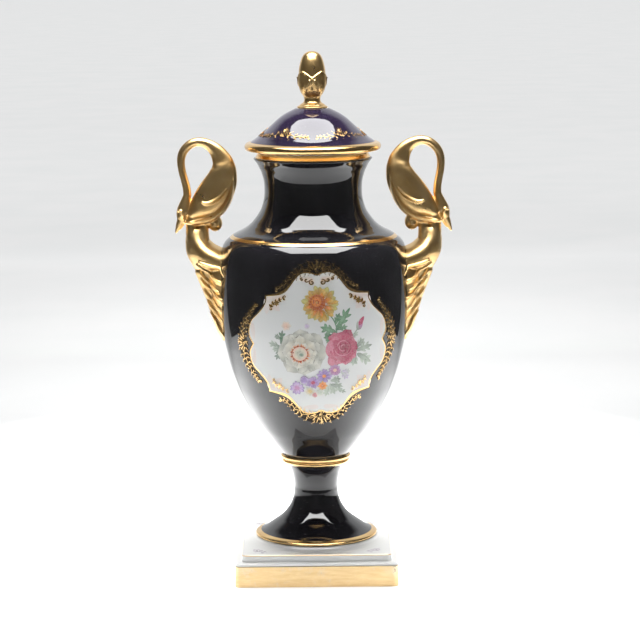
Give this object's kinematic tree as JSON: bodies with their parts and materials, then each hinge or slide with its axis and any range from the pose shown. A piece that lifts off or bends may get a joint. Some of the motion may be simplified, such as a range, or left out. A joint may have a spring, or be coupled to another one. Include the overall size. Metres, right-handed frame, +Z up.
{
  "type": "mantel urn",
  "caption": "Lidded porcelain mantel urn, dark cobalt with gilt swan handles, a painted flower panel, a bud finial and a square stepped plinth",
  "frame": {"origin": "middle of the plinth's underside", "axes": "+Z up through the finial, +X through the right-hand handle, -Y out of the painted front"},
  "size_m": [0.2222, 0.1524, 0.42],
  "materials": {
    "white_porcelain": "clear glazed white hard-paste porcelain, gilt edge lines and a worn gilt band round the lower slab",
    "cobalt_glaze": "deep cobalt glaze, very glossy, with gilt rings, gilt lace and a white reserve painted with flowers",
    "burnished_gold": "porcelain gilded all over, burnished to a soft gloss"
  },
  "bodies": {
    "root": {"plinth": "white_porcelain", "pedestal_foot": "cobalt_glaze", "urn_body": "cobalt_glaze", "swan_handle_left": "burnished_gold", "swan_handle_right": "burnished_gold", "lid": "cobalt_glaze", "finial": "burnished_gold"}
  },
  "joints": []
}
